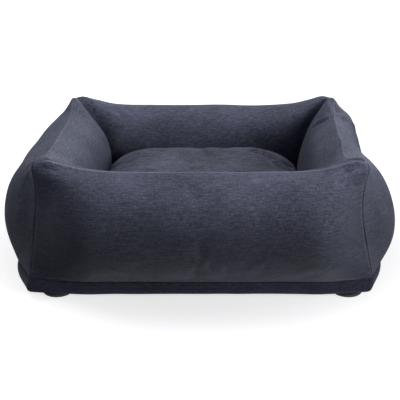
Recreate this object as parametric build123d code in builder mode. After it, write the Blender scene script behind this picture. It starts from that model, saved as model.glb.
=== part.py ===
from build123d import *
from collections import namedtuple
import os

os.makedirs("parts", exist_ok=True)

# Box-shaped inflatable dog bed. Millimetres, +Z up, front towards -Y.
# The origin is on the floor, under the middle of the bed.
# Each wall is a sewn, padded cover round an air chamber. The four covers meet in
# mitre seams, where they rise into four soft ears. They stand on a low base, which
# has its own air chamber, and a loose cushion fills the well between them.

# The ring line, on which the corner seams stand, from the middle of the bed
ring_half_length = 300.0
ring_half_depth = 254.0

# Base
foot_radius = 30.0
foot_height = 8.0
foot_round = 2.5
foot_inset_side = 20.0
foot_inset_end = 2.0
panel_thickness = 2.0
band_height = 28.0
band_thickness = 2.5
band_turn_in = 6.0
band_turn_height = 6.0

# Wall cover in the middle of a wall: distances out from the ring line, and
# heights above the seam that joins it to the base
full_bulge_distance = 124.0
bulge_out = 92.0
bulge_out_rise = 92.0
bulge_in = 80.0
bulge_in_rise = 71.0
ridge_out = 4.0
ridge_rise = 206.0
sill_out_long = 48.0
sill_out_side = 58.0
sill_in = 62.0

# Flank and shoulder, where the cover draws in towards a corner
flank_distance = 76.0
flank_out = 83.0
flank_in = 76.0
flank_ridge_rise = 209.0
flank_sill_share = 0.9
shoulder_distance = 40.0
shoulder_out = 60.0
shoulder_in = 68.0
shoulder_ridge_rise = 216.0
shoulder_sill_share = 0.7

# Ear, on a plane past the corner seam, which cuts it off
ear_overrun = 30.0
ear_waist = 16.0
ear_waist_rise = 108.0
ear_in = 48.0
ear_ridge_out = 8.0
ear_ridge_rise = 234.0
corner_sill_out = 24.0

# Air chambers
wadding = 10.0
film = 1.0
chamber_fit = 0.3
chamber_end_gap = 4.0
link_width = 12.0
link_height = 24.0
link_in = 20.0
link_rise = 92.0
base_chamber_inset = 14.0
web_count = 5

# Valves. The base valve is a smaller copy of the wall valve.
valve_bore = 5.0
valve_wall = 1.5
valve_flange_radius = 11.0
valve_flange = 1.2
valve_cap_wall = 1.6
valve_cap_grip = 3.0
valve_fit = 0.3
eyelet_radius = 15.0
eyelet_hole_radius = 11.5
eyelet_wall = 1.0
eyelet_sink = 1.4
flap_overlap = 1.8
flap_thickness = 0.8
wall_valve_flank_gap = 56.0
base_valve_flank_gap = 40.0
base_valve_rise = 15.0
base_valve_share = 0.5

# Zip in the rear band
zip_flank_gap = 6.0
zip_rise = 17.0
zip_slot = 8.0
tape_width = 7.0
tape_thickness = 0.8
teeth_height = 2.2
teeth_depth = 2.0
teeth_gap = 1.2
slider_length = 11.0
slider_height = 7.2
slider_plate = 1.3
slider_fit = 0.3
slider_web = 0.6
crown_rise = 2.6
crown_bar = 0.8
crown_span_share = 0.33
pull_length = 17.0
pull_width = 5.0
pull_thickness = 1.6
pull_eye_margin = 1.2
pull_fit = 0.25

# Cushion
cushion_clearance = 4.0
cushion_lift_gap = 0.3
cushion_seam_rise = 88.0
cushion_crown_rise = 150.0
cushion_crown_inset = 62.0
cushion_crown_drop = 9.0
cushion_sill_inset = 26.0
cushion_lower_swell_shares = (0.78, 0.42)
cushion_upper_swell_shares = (0.66, 0.64)
cushion_corner = 42.0
cushion_corner_sag_share = 0.36
cushion_draw_in = 5.0
core_inset = 14.0
core_half_length = 140.0
core_fit = 0.3

# Levels that follow
up = Vector(0, 0, 1)
underside_top = foot_height + panel_thickness
seam_z = underside_top + band_height

Wall = namedtuple("Wall", "name out reach half sill_out")
walls = [
    Wall("front", Vector(0, -1, 0), ring_half_depth, ring_half_length, sill_out_long),
    Wall("right", Vector(1, 0, 0), ring_half_length, ring_half_depth, sill_out_side),
    Wall("rear", Vector(0, 1, 0), ring_half_depth, ring_half_length, sill_out_long),
    Wall("left", Vector(-1, 0, 0), ring_half_length, ring_half_depth, sill_out_side),
]
front, right, rear, left = walls


def wall_plane(wall, along):
    """Upright plane across a wall. Its x runs outwards and its y runs up."""
    origin = wall.out * wall.reach + up.cross(wall.out) * along
    return Plane(origin=origin, x_dir=wall.out, z_dir=wall.out.cross(up))


def face_plane(wall, along, rise):
    """Plane that faces outwards on the ring line. Its x runs along the wall."""
    origin = wall.out * wall.reach + up.cross(wall.out) * along + up * (seam_z + rise)
    return Plane(origin=origin, x_dir=up.cross(wall.out), z_dir=wall.out)


def mitre_plane(wall, side):
    """The upright plane of a corner seam, at the end of a wall on one side."""
    along = up.cross(wall.out) * side
    return Plane(origin=wall.out * wall.reach + along * wall.half, z_dir=along - wall.out)


def base_stations(wall):
    """Places along half a wall, and how far the base stands out there."""
    spread = wall.sill_out - corner_sill_out
    shoulder = corner_sill_out + spread * shoulder_sill_share
    slope = (shoulder - corner_sill_out) / (shoulder_distance + corner_sill_out)
    return [
        (wall.half - full_bulge_distance, wall.sill_out),
        (wall.half - flank_distance, corner_sill_out + spread * flank_sill_share),
        (wall.half - shoulder_distance, shoulder),
        (wall.half + ear_overrun, corner_sill_out - slope * (ear_overrun - corner_sill_out)),
    ]


def both_halves(stations):
    """The stations of a whole wall, given those of the half past its middle."""
    return [(-along, item) for along, item in reversed(stations)] + stations


def cover_outline(inner, ridge, outer, sill_out):
    """Section of a wall cover: two arcs that meet in the ridge, and a flat sill."""
    foot_in = (-sill_in, seam_z)
    foot_out = (sill_out, seam_z)
    top = (ridge[0], seam_z + ridge[1])
    with BuildLine() as outline:
        ThreePointArc(foot_in, (-inner[0], seam_z + inner[1]), top)
        ThreePointArc(top, (outer[0], seam_z + outer[1]), foot_out)
        Line(foot_out, foot_in)
    return outline.edges()


def middle_outline(wall):
    return cover_outline(
        (bulge_in, bulge_in_rise),
        (ridge_out, ridge_rise),
        (bulge_out, bulge_out_rise),
        wall.sill_out,
    )


def wall_sections(wall):
    """Places along a wall and the section of its cover there, from end to end."""
    shapes = [
        ((bulge_in, bulge_in_rise), (ridge_out, ridge_rise), (bulge_out, bulge_out_rise)),
        ((flank_in, bulge_in_rise), (ridge_out, flank_ridge_rise), (flank_out, bulge_out_rise)),
        (
            (shoulder_in, bulge_in_rise),
            (ridge_out, shoulder_ridge_rise),
            (shoulder_out, bulge_out_rise),
        ),
        ((ear_in, ear_waist_rise), (ear_ridge_out, ear_ridge_rise), (-ear_waist, ear_waist_rise)),
    ]
    return both_halves([
        (along, cover_outline(*shape, sill_out))
        for (along, sill_out), shape in zip(base_stations(wall), shapes)
    ])


def air_tube(wall, inset, cut_at_mitre):
    """Air tube of one wall, set into its cover, with a link to each corner."""
    half_length = wall.half - full_bulge_distance - chamber_end_gap - inset
    with BuildPart() as tube:
        with BuildSketch(wall_plane(wall, -half_length)):
            make_face(middle_outline(wall))
            offset(amount=-inset, kind=Kind.INTERSECTION)
        extrude(amount=-2 * half_length)
        reach = wall.half + link_height
        with BuildSketch(wall_plane(wall, -reach)):
            with Locations((-link_in, seam_z + link_rise)):
                Rectangle(link_width, link_height)
                offset(amount=wadding - inset, kind=Kind.INTERSECTION)
        extrude(amount=-2 * reach)
        if cut_at_mitre:
            for side in (-1, 1):
                split(bisect_by=mitre_plane(wall, side), keep=Keep.BOTTOM)
    return tube.part


def base_outline(inset):
    """Plan of the base, set in from the sill of the wall covers."""
    points = []
    for wall in walls:
        along = up.cross(wall.out)
        corner = (wall.half + corner_sill_out - inset, corner_sill_out)
        edge = both_halves(base_stations(wall)[:-1]) + [corner]
        points += [along * a + wall.out * (wall.reach + b - inset) for a, b in edge]
    with BuildLine() as outline:
        Polyline(*points, close=True)
    return outline.edges()


def band_outline(sill_out):
    """Section of the base band: upright, turned in under its lower edge."""
    turn_z = underside_top + band_turn_height
    inner = sill_out - band_thickness
    with BuildLine() as outline:
        Line((inner, seam_z), (sill_out, seam_z))
        Line((sill_out, seam_z), (sill_out, turn_z))
        Line((sill_out, turn_z), (sill_out - band_turn_in, underside_top))
        Line((sill_out - band_turn_in, underside_top), (inner - band_turn_in, underside_top))
        Line((inner - band_turn_in, underside_top), (inner, turn_z))
        Line((inner, turn_z), (inner, seam_z))
    return outline.edges()


# Wall covers

flank_start = rear.half - full_bulge_distance
valve_plane = face_plane(rear, flank_start - wall_valve_flank_gap, bulge_out_rise)
valve_face = bulge_out - eyelet_sink
valve_seat = bulge_out - wadding


def wall_cover(wall):
    with BuildPart() as cover:
        for along, outline in wall_sections(wall):
            with BuildSketch(wall_plane(wall, along)):
                make_face(outline)
        loft(ruled=True)
        for side in (-1, 1):
            split(bisect_by=mitre_plane(wall, side), keep=Keep.BOTTOM)
        add(air_tube(wall, wadding - chamber_fit, False), mode=Mode.SUBTRACT)
        if wall is rear:
            with BuildSketch(valve_plane):
                Circle(eyelet_hole_radius + eyelet_wall)
            extrude(amount=2 * bulge_out, mode=Mode.SUBTRACT)
            with BuildSketch(valve_plane.offset(valve_face - eyelet_wall)):
                Circle(eyelet_radius + valve_fit)
            extrude(amount=bulge_out, mode=Mode.SUBTRACT)
    return cover.part


with BuildPart() as front_rear_wall_covers:
    add(wall_cover(front))
    add(wall_cover(rear))
front_rear_wall_covers.part.label = "front_rear_wall_covers"
export_step(front_rear_wall_covers.part, "parts/front_rear_wall_covers.step")

with BuildPart() as left_right_wall_covers:
    add(wall_cover(left))
    add(wall_cover(right))
left_right_wall_covers.part.label = "left_right_wall_covers"
export_step(left_right_wall_covers.part, "parts/left_right_wall_covers.step")

# Base bands, sewn round the base in four strips

zip_plane = face_plane(rear, 0, zip_rise - band_height)
zip_half_length = flank_start - zip_flank_gap
base_valve_along = base_valve_flank_gap - (left.half - full_bulge_distance)
base_valve_plane = face_plane(left, base_valve_along, base_valve_rise - band_height)

for wall in walls:
    with BuildPart() as base_band:
        for along, sill_out in both_halves(base_stations(wall)):
            with BuildSketch(wall_plane(wall, along)):
                make_face(band_outline(sill_out))
        loft(ruled=True)
        for side in (-1, 1):
            split(bisect_by=mitre_plane(wall, side), keep=Keep.BOTTOM)
        if wall is rear:
            with BuildSketch(zip_plane):
                Rectangle(2 * zip_half_length + slider_length, zip_slot)
            extrude(amount=2 * wall.sill_out, mode=Mode.SUBTRACT)
        if wall is left:
            with BuildSketch(base_valve_plane):
                Circle((eyelet_hole_radius + eyelet_wall) * base_valve_share)
            extrude(amount=2 * wall.sill_out, mode=Mode.SUBTRACT)
    base_band.part.label = wall.name + "_base_band"
    export_step(base_band.part, "parts/" + base_band.part.label + ".step")

# Floor of the well, and the underside

with BuildPart() as floor_panel:
    with BuildSketch(Plane.XY.offset(seam_z - panel_thickness)):
        make_face(base_outline(band_thickness))
    extrude(amount=panel_thickness)
floor_panel.part.label = "floor_panel"
export_step(floor_panel.part, "parts/floor_panel.step")

with BuildPart() as underside_panel:
    with BuildSketch(Plane.XY.offset(foot_height)):
        make_face(base_outline(band_turn_in))
    extrude(amount=panel_thickness)
underside_panel.part.label = "underside_panel"
export_step(underside_panel.part, "parts/underside_panel.step")

# Feet

foot_x = ring_half_length - foot_inset_side
foot_y = ring_half_depth + foot_inset_end
with BuildPart() as feet:
    with BuildSketch():
        with GridLocations(2 * foot_x, 2 * foot_y, 2, 2):
            Circle(foot_radius)
    extrude(amount=foot_height)
    chamfer(feet.edges().group_by(Axis.Z)[0], length=foot_round)
feet.part.label = "feet"
export_step(feet.part, "parts/feet.step")

# Air chambers

with BuildPart() as wall_air_chamber:
    for wall in walls:
        add(air_tube(wall, wadding, True))
    for wall in walls:
        add(air_tube(wall, wadding + film, True), mode=Mode.SUBTRACT)
    with BuildSketch(valve_plane):
        Circle(valve_bore)
    extrude(amount=bulge_out, mode=Mode.SUBTRACT)
wall_air_chamber.part.label = "wall_air_chamber"
export_step(wall_air_chamber.part, "parts/wall_air_chamber.step")

base_chamber_z = underside_top + chamber_fit
base_chamber_height = band_height - panel_thickness - 2 * chamber_fit
web_pitch = 2 * ring_half_length / (web_count + 1)
with BuildPart() as base_air_chamber:
    with BuildSketch(Plane.XY.offset(base_chamber_z)):
        make_face(base_outline(base_chamber_inset))
    extrude(amount=base_chamber_height)
    with BuildSketch(Plane.XY.offset(base_chamber_z + film)):
        make_face(base_outline(base_chamber_inset + film))
        with GridLocations(web_pitch, 0, web_count, 1):
            Rectangle(film, 4 * ring_half_depth, mode=Mode.SUBTRACT)
    extrude(amount=base_chamber_height - 2 * film, mode=Mode.SUBTRACT)
    with BuildSketch(base_valve_plane):
        Circle(valve_bore * base_valve_share)
    extrude(amount=left.sill_out, mode=Mode.SUBTRACT)
base_air_chamber.part.label = "base_air_chamber"
export_step(base_air_chamber.part, "parts/base_air_chamber.step")


# Valves: an eyelet in the cover, a stem welded on the film, a flap behind it and a cap


def make_valve(name, plane, seat, face, share, film_solid):
    hole = eyelet_hole_radius * share
    bore = valve_bore * share
    stem_radius = bore + valve_wall * share
    stem_top = face - valve_fit - valve_cap_wall * share
    with BuildPart() as eyelet:
        with BuildSketch(plane.offset(face - eyelet_wall)):
            Circle(eyelet_radius * share)
            Circle(hole, mode=Mode.SUBTRACT)
        extrude(amount=eyelet_wall)
        with BuildSketch(plane.offset(face - eyelet_wall)):
            Circle(hole + eyelet_wall * share)
            Circle(hole, mode=Mode.SUBTRACT)
        extrude(amount=(seat - face) / 2)
    with BuildPart() as stem:
        with BuildSketch(plane.offset(seat - valve_flange)):
            Circle(valve_flange_radius * share)
        extrude(amount=2 * valve_flange)
        with BuildSketch(plane.offset(seat - valve_flange)):
            Circle(stem_radius)
        extrude(amount=stem_top - seat + valve_flange)
        with BuildSketch(plane):
            Circle(bore)
        extrude(amount=face, mode=Mode.SUBTRACT)
        add(film_solid, mode=Mode.SUBTRACT)
    with BuildPart() as cap:
        cap_radius = stem_radius + valve_fit + valve_cap_wall * share
        with BuildSketch(plane.offset(stem_top - valve_cap_grip * share)):
            Circle(cap_radius)
        extrude(amount=face - stem_top + valve_cap_grip * share)
        with BuildSketch(plane.offset(stem_top - valve_cap_grip * share)):
            Circle(stem_radius + valve_fit)
        extrude(amount=valve_cap_grip * share + valve_fit, mode=Mode.SUBTRACT)
    with BuildPart() as flap:
        with BuildSketch(plane.offset(seat - film - valve_fit)):
            Circle(bore + flap_overlap * share)
        extrude(amount=-flap_thickness * share)
    for piece, body in (("cap", cap), ("flap", flap)):
        body.part.label = name + "_valve_" + piece
        export_step(body.part, "parts/" + body.part.label + ".step")
    return eyelet.part, stem.part


wall_eyelet, wall_stem = make_valve(
    "wall", valve_plane, valve_seat, valve_face, 1.0, air_tube(rear, wadding, False)
)

with BuildPart() as base_chamber_solid:
    with BuildSketch(Plane.XY.offset(base_chamber_z)):
        make_face(base_outline(base_chamber_inset))
    extrude(amount=base_chamber_height)
base_eyelet, base_stem = make_valve(
    "base",
    base_valve_plane,
    left.sill_out - base_chamber_inset,
    left.sill_out + eyelet_wall,
    base_valve_share,
    base_chamber_solid.part,
)

with BuildPart() as valve_eyelets:
    add(wall_eyelet)
    add(base_eyelet)
valve_eyelets.part.label = "valve_eyelets"
export_step(valve_eyelets.part, "parts/valve_eyelets.step")

with BuildPart() as valve_stems:
    add(wall_stem)
    add(base_stem)
valve_stems.part.label = "valve_stems"
export_step(valve_stems.part, "parts/valve_stems.step")

# Zip in the rear band: two tapes behind the band, a row of teeth on each, and a
# slider with its pull. The rows stand a hair apart, so that the slider's web passes.

tape_face = rear.sill_out - band_thickness
tape_middle = (tape_width + teeth_gap) / 2 + teeth_height / 2
for side, place in ((1, "upper"), (-1, "lower")):
    with BuildPart() as zip_tape:
        with BuildSketch(zip_plane.offset(tape_face - tape_thickness)):
            with Locations((0, side * tape_middle)):
                Rectangle(2 * zip_half_length, tape_width)
        extrude(amount=tape_thickness)
    zip_tape.part.label = "rear_zip_" + place + "_tape"
    export_step(zip_tape.part, "parts/" + zip_tape.part.label + ".step")
    with BuildPart() as zip_teeth:
        with BuildSketch(zip_plane.offset(tape_face)):
            with Locations((0, side * (teeth_gap + teeth_height) / 2)):
                Rectangle(2 * zip_half_length, teeth_height)
        extrude(amount=teeth_depth)
    zip_teeth.part.label = "rear_zip_" + place + "_teeth"
    export_step(zip_teeth.part, "parts/" + zip_teeth.part.label + ".step")

slider_x = zip_half_length - slider_length / 2
crown_half_span = slider_length * crown_span_share
slider_plane = face_plane(rear, -slider_x, zip_rise - band_height)
slider_front = tape_face + teeth_depth + slider_fit
slider_back = tape_face - tape_thickness - slider_fit
hinge = slider_plane.offset(slider_front + slider_plate + crown_rise).origin
with BuildPart() as zip_slider:
    with BuildSketch(slider_plane.offset(slider_front)):
        Rectangle(slider_length, slider_height)
    extrude(amount=slider_plate)
    with BuildSketch(slider_plane.offset(slider_back)):
        Rectangle(slider_length, slider_height)
    extrude(amount=-slider_plate)
    with BuildSketch(slider_plane.offset(slider_back)):
        Rectangle(slider_length / 2, slider_web)
    extrude(amount=slider_front - slider_back)
    with BuildSketch(slider_plane.offset(slider_front + slider_plate)):
        with Locations((-crown_half_span, 0), (crown_half_span, 0)):
            Rectangle(2 * crown_bar, 2 * crown_bar)
    extrude(amount=crown_rise)
    with BuildSketch(Plane(hinge, x_dir=up, z_dir=slider_plane.x_dir).offset(-crown_half_span)):
        Circle(crown_bar)
    extrude(amount=2 * crown_half_span)
zip_slider.part.label = "rear_zip_slider"
export_step(zip_slider.part, "parts/rear_zip_slider.step")

eye_radius = crown_bar + pull_fit
pull_head = eye_radius + pull_eye_margin
with BuildPart() as zip_pull:
    with BuildSketch(Plane(hinge, x_dir=rear.out, z_dir=-slider_plane.x_dir).offset(-pull_width / 2)):
        Circle(pull_head)
        with Locations((0, -pull_length / 2)):
            Rectangle(pull_thickness, pull_length)
        Circle(eye_radius, mode=Mode.SUBTRACT)
    extrude(amount=pull_width)
zip_pull.part.label = "rear_zip_pull"
export_step(zip_pull.part, "parts/rear_zip_pull.step")

# Cushion, lying loose on the floor of the well

cushion_half_length = ring_half_length - bulge_in - cushion_clearance
cushion_half_depth = ring_half_depth - bulge_in - cushion_clearance
cushion_floor = seam_z + cushion_lift_gap


def cushion_outline(half, inset):
    """Section of the cushion: flat below, swelling to its seam, crowned above."""
    half = half - inset
    floor = cushion_floor + inset
    seam = cushion_floor + cushion_seam_rise
    top = cushion_floor + cushion_crown_rise - inset
    sill = half - cushion_sill_inset
    crown = half - cushion_crown_inset
    crown_z = top - cushion_crown_drop
    swell = (
        sill + (half - sill) * cushion_lower_swell_shares[0],
        floor + (seam - floor) * cushion_lower_swell_shares[1],
    )
    shoulder = (
        crown + (half - crown) * cushion_upper_swell_shares[0],
        seam + (crown_z - seam) * cushion_upper_swell_shares[1],
    )
    with BuildLine() as outline:
        Line((-sill, floor), (sill, floor))
        ThreePointArc((sill, floor), swell, (half, seam))
        ThreePointArc((half, seam), shoulder, (crown, crown_z))
        ThreePointArc((crown, crown_z), (0, top), (-crown, crown_z))
        ThreePointArc((-crown, crown_z), (-shoulder[0], shoulder[1]), (-half, seam))
        ThreePointArc((-half, seam), (-swell[0], swell[1]), (-sill, floor))
    return outline.edges()


def cushion_plan():
    """Plan of the cushion: sides drawn in between rounded corners."""
    x = cushion_half_length
    y = cushion_half_depth
    r = cushion_corner
    points = [(x, y - r), (x - r, y), (r - x, y), (-x, y - r), (-x, r - y), (r - x, -y)]
    points += [(x - r, -y), (x, r - y)]
    with BuildLine() as outline:
        for start in range(0, len(points), 2):
            corner_start = points[start]
            corner_end = points[start + 1]
            side_end = points[(start + 2) % len(points)]
            SagittaArc(corner_start, corner_end, -cushion_corner_sag_share * r)
            SagittaArc(corner_end, side_end, cushion_draw_in)
    return outline.edges()


with BuildPart() as cushion_core:
    with BuildSketch(Plane.YZ.offset(-core_half_length)):
        make_face(cushion_outline(cushion_half_depth, core_inset))
    extrude(amount=2 * core_half_length)
cushion_core.part.label = "cushion_core"
export_step(cushion_core.part, "parts/cushion_core.step")

with BuildPart() as cushion_cover:
    with BuildSketch(Plane.YZ.offset(-cushion_half_length)):
        make_face(cushion_outline(cushion_half_depth, 0))
    extrude(amount=2 * cushion_half_length)
    with BuildSketch(Plane.XZ.offset(-cushion_half_depth)):
        make_face(cushion_outline(cushion_half_length, 0))
    extrude(amount=2 * cushion_half_depth, mode=Mode.INTERSECT)
    with BuildSketch(Plane.XY.offset(cushion_floor)):
        make_face(cushion_plan())
    extrude(amount=cushion_crown_rise, mode=Mode.INTERSECT)
    with BuildSketch(Plane.YZ.offset(-core_half_length - core_fit)):
        make_face(cushion_outline(cushion_half_depth, core_inset - core_fit))
    extrude(amount=2 * (core_half_length + core_fit), mode=Mode.SUBTRACT)
cushion_cover.part.label = "cushion_cover"
export_step(cushion_cover.part, "parts/cushion_cover.step")
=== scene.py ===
import math

import bmesh
import bpy
import numpy as np
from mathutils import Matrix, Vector, noise


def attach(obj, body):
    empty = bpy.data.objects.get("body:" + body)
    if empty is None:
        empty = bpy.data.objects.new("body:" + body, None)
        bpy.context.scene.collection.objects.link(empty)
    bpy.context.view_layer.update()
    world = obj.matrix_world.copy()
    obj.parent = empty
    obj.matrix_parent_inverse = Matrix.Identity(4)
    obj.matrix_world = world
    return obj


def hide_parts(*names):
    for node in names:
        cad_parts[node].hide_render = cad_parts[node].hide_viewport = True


# Box-shaped inflatable dog bed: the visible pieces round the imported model.
# Metres, +Z up, front towards -Y, origin on the floor under the middle of the bed.

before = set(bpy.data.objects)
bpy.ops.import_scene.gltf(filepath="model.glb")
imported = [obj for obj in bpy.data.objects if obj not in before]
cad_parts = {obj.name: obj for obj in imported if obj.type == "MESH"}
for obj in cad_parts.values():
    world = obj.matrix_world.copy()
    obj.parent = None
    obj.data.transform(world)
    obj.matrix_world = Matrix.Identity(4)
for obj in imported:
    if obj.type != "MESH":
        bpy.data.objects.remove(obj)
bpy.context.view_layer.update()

# The ring line, on which the corner seams stand
RING_HALF_LENGTH = 0.300
RING_HALF_DEPTH = 0.254
SEAM_Z = 0.038
CORNER_SILL_OUT = 0.024

# Wall in its middle: distances out from the ring line, heights above the base seam
BULGE_OUT = 0.090
BULGE_OUT_RISE = 0.092
BULGE_IN = 0.080
BULGE_IN_RISE = 0.071
RIDGE_OUT = 0.004
RIDGE_RISE = 0.206
SILL_IN = 0.062
RIDGE_ROUNDING = 0.014

# How a wall swells between its corner seams, outside and inside
SWELL_OUT_LENGTH = 0.124
SWELL_IN_LENGTH = 0.092
SWELL_START = 1.25
SWELL_POWER = 2.4

# Ridge near a corner: distance from the seam, share of the way down from the ear
EAR_PROFILE = [
    (0.0, 0.06), (0.018, -0.09), (0.030, 0.03), (0.041, 0.18), (0.058, 0.39),
    (0.081, 0.67), (0.105, 0.86), (0.140, 0.97), (0.185, 1.0), (0.30, 1.0),
]

# Sunk seam line: its depth, how far from it the cloth is level again, and how high above the sill
# the depth is full
SEAM_DEPTH = 0.0024
SEAM_REACH = 0.0034
SEAM_FULL_RISE = 0.03

# Welt along the ridge: its height, half its width, and where it starts from the corner seam
WELT_RISE = 0.0013
WELT_REACH = 0.0021
WELT_START = 0.03

# Corner seam, from the outer sill over the ear to the inner sill:
# distance out from the ring line, height above the base seam
SEAM_POINTS = [
    (CORNER_SILL_OUT, 0.0), (0.015, 0.042), (0.009, 0.078), (0.004, 0.115), (0.002, 0.150),
    (0.004, 0.182), (0.008, 0.205), (0.009, 0.218), (0.004, 0.2265), (-0.006, 0.2255),
    (-0.018, 0.212), (-0.030, 0.186), (-0.042, 0.145), (-0.050, 0.095), (-0.056, 0.045),
    (-SILL_IN, 0.0),
]
EAR_TIP_POINT = 8

# The bed's uneven stance: the middle of each push, its spread, and how far it goes
STANCE = [
    ((-0.33, -0.26, 0.14), (0.09, 0.12, 0.20), (-0.004, 0, 0)),
    ((-0.32, 0.27, 0.26), (0.09, 0.10, 0.09), (-0.010, 0, 0)),
    ((0.32, 0.27, 0.26), (0.09, 0.07, 0.06), (0.010, 0, 0)),
    ((0.40, 0.07, 0.17), (0.09, 0.13, 0.08), (-0.029, 0, 0)),
    ((0.345, 0.205, 0.225), (0.06, 0.05, 0.05), (0.014, 0, 0)),
    ((0.22, 0.12, 0.15), (0.05, 0.12, 0.10), (0.007, 0, 0)),
    ((0.225, -0.02, 0.14), (0.05, 0.12, 0.06), (0.010, 0, 0)),
    ((-0.24, 0.16, 0.18), (0.05, 0.10, 0.06), (0.010, 0, 0.002)),
    ((0.36, -0.03, 0.215), (0.06, 0.14, 0.05), (-0.008, 0, 0)),
    ((0.305, -0.14, 0.26), (0.050, 0.080, 0.05), (-0.022, 0, -0.008)),
    ((0.30, 0.0, 0.25), (0.09, 0.08, 0.06), (-0.006, 0, 0)),
    ((0.345, -0.02, 0.205), (0.06, 0.07, 0.04), (-0.009, 0, 0)),
    ((0.39, -0.17, 0.17), (0.09, 0.11, 0.10), (-0.013, 0, 0)),
    ((0.40, -0.10, 0.07), (0.10, 0.22, 0.05), (0.007, 0, 0)),
    ((-0.40, -0.10, 0.07), (0.10, 0.22, 0.05), (-0.005, 0, 0)),
    ((0.318, -0.276, 0.004), (0.06, 0.06, 0.022), (-0.006, -0.010, 0)),
    ((-0.305, -0.256, 0.14), (0.035, 0.035, 0.08), (-0.007, 0, 0)),
    ((-0.35, -0.19, 0.02), (0.08, 0.06, 0.04), (-0.011, 0, 0)),
    ((-0.324, -0.272, 0.004), (0.06, 0.06, 0.022), (-0.005, -0.010, 0)),
]

# Folds in the cloth of each piece: depth, half width, points along the fold. A negative depth stands up.
FOLDS = {
    "right_wall": [
        (0.0030, 0.006, [(0.308, 0.237, 0.266), (0.312, 0.197, 0.255), (0.314, 0.163, 0.244)]),
        (-0.0034, 0.007, [(0.250, 0.151, 0.199), (0.282, 0.151, 0.235), (0.314, 0.162, 0.244)]),
        (0.0050, 0.009, [(0.252, 0.133, 0.198), (0.283, 0.134, 0.233), (0.312, 0.142, 0.242)]),
        (-0.0034, 0.007, [(0.314, 0.162, 0.244), (0.330, 0.158, 0.236), (0.358, 0.170, 0.208)]),
        (0.0050, 0.009, [(0.314, 0.142, 0.242), (0.332, 0.138, 0.233), (0.360, 0.150, 0.206)]),
        (0.0030, 0.007, [(0.330, 0.215, 0.243), (0.343, 0.200, 0.228), (0.356, 0.195, 0.205)]),
        (0.0026, 0.006, [(0.306, -0.246, 0.262), (0.318, -0.225, 0.246), (0.338, -0.205, 0.225)]),
    ],
    "front_wall": [
        (0.0028, 0.0045, [(0.250, -0.270, 0.247), (0.279, -0.266, 0.257), (0.299, -0.265, 0.254)]),
        (0.0016, 0.0045, [(-0.301, -0.265, 0.256), (-0.285, -0.267, 0.2555), (-0.258, -0.270, 0.249)]),
    ],
    "left_wall": [
        (0.0024, 0.006, [(-0.309, -0.245, 0.262), (-0.322, -0.225, 0.246), (-0.340, -0.210, 0.226)]),
        (0.0024, 0.006, [(-0.311, 0.243, 0.263), (-0.318, 0.218, 0.252), (-0.334, 0.200, 0.235)]),
    ],
    "rear_wall": [
        (0.0026, 0.006, [(-0.296, 0.268, 0.256), (-0.270, 0.276, 0.246), (-0.248, 0.290, 0.228)]),
        (0.0026, 0.006, [(0.297, 0.267, 0.256), (0.276, 0.277, 0.243), (0.262, 0.292, 0.222)]),
    ],
    "cushion": [
        (0.0075, 0.012, [
            (0.060, 0.110, 0.183), (0.105, 0.088, 0.183), (0.140, 0.060, 0.180),
            (0.162, 0.020, 0.177), (0.176, -0.045, 0.172),
        ]),
        (0.0026, 0.012, [(-0.012, 0.135, 0.179), (-0.002, 0.090, 0.184), (0.010, 0.030, 0.184)]),
        (0.0022, 0.012, [(-0.170, 0.120, 0.172), (-0.120, 0.085, 0.183), (-0.080, 0.070, 0.184)]),
        (0.0026, 0.012, [(-0.165, -0.100, 0.173), (-0.110, -0.070, 0.183), (-0.060, -0.030, 0.184)]),
        (0.0024, 0.011, [(0.160, -0.115, 0.172), (0.115, -0.085, 0.182), (0.060, -0.075, 0.184)]),
    ],
}

# Form of a fold: points along it, how far it is felt, its lips' share of the depth and their place
# (both in half widths), and how bluntly it ends
FOLD_POINTS = 40
FOLD_REACH = 5
LIP_SHARE = 0.4
LIP_PLACE = 1.9
FOLD_BLUNTNESS = 0.7

# Puckers beside a seam: depth, reach, spacing, length against their width, and where they start
PUCKER_DEPTH = 0.0009
PUCKER_REACH = 0.020
PUCKER_SPACING = 0.017
PUCKER_SLENDERNESS = 0.22
PUCKER_START = 0.006
BASE_PUCKER_SHARE = 0.5

# Uneven cloth: depth, spacing, and how far from a seam it is full
UNEVEN_DEPTH = 0.0012
UNEVEN_SPACING = 0.075
UNEVEN_START = 0.03

# Hem tucked in at the base seam
TUCK_DEPTH = 0.0026
TUCK_REACH = 0.0035

# Mesh sizes
ARC_POINTS = 120
SECTION_POINTS = 500
SEAM_LINE_POINTS = 800
EAR_LINE_POINTS = 400
OUTER_ROWS = 44
INNER_ROWS = 40
RIDGE_BLEND_ROWS = 6
COLUMN_PITCH = 0.006
SEAM_COLUMNS = [0.0, 0.0014, 0.0030, 0.0050, 0.0080, 0.0120, 0.0170]

# Simulation: frames, how far cloth may stretch and move, and how far from the seams its move is full
SIM_FRAMES = 26
CLOTH_SETTINGS = {
    "quality": 6, "mass": 0.25, "pin_stiffness": 1.0, "use_pressure": True, "air_damping": 2,
    "tension_stiffness": 25, "compression_stiffness": 25, "shear_stiffness": 8,
    "tension_damping": 8, "compression_damping": 8, "shear_damping": 8, "bending_stiffness": 0.35,
}
WALL_STRETCH = 0.016
WALL_PRESSURE = 1.5
WALL_REACH = 0.006
SIM_SEAM_FADE = 0.045
SIM_BASE_FADE = 0.100
RIDGE_SMOOTHING = 8

# Air tubes inside the walls
CHAMBER_COLUMNS = 41
CHAMBER_ROWS = 37
CHAMBER_Z = 0.138
CHAMBER_SHARE = 0.86
CHAMBER_END = 0.030

UP = Vector((0, 0, 1))

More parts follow.
